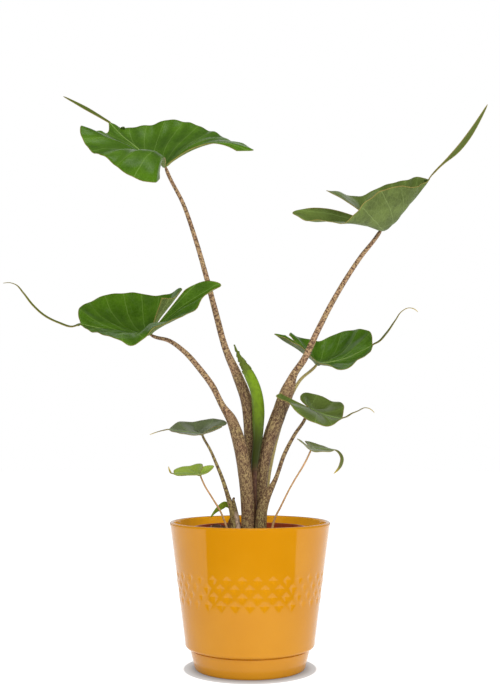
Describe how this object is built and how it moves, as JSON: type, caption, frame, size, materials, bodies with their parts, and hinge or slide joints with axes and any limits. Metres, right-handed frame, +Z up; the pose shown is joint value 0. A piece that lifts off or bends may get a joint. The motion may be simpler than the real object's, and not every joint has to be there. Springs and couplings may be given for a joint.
{
  "type": "potted plant",
  "caption": "Potted aroid with long-tailed arrow blades on mottled petioles, in a growing pot inside a tapered glazed cover pot with a band of sunken lozenges.",
  "frame": {"origin": "centre of the cover pot's underside, on the surface it stands on", "axes": "+Z up along the pot's axis, -Y towards the front"},
  "size_m": [0.549, 0.18, 0.6797],
  "materials": {
    "glaze": "glossy mustard glaze",
    "growing_pot": "matt terracotta plastic",
    "soil": "loose dark potting soil",
    "corm": "rough fibrous skin",
    "leaf": "satin green blade with paler veins",
    "leaf_dark": "satin blue-green blade",
    "leaf_light": "satin yellow-green",
    "petiole": "tan, mottled purple-brown"
  },
  "bodies": {
    "root": {"cover_pot": "glaze", "growing_pot": "growing_pot", "soil": "soil", "corm": "corm", "blade_top_left": "leaf", "blade_top_right": "leaf", "blade_mid_left": "leaf", "blade_mid_right": "leaf", "blade_low_right": "leaf", "blade_low_left": "leaf_dark", "blade_small_left": "leaf_light", "blade_small_right": "leaf", "petiole_top_left": "petiole", "petiole_top_right": "petiole", "petiole_mid_left": "petiole", "petiole_mid_right": "petiole", "petiole_low_right": "petiole", "petiole_low_left": "petiole", "petiole_small_left": "petiole", "petiole_small_right": "petiole", "furled_leaf": "leaf_light", "young_leaf": "leaf"}
  },
  "joints": []
}
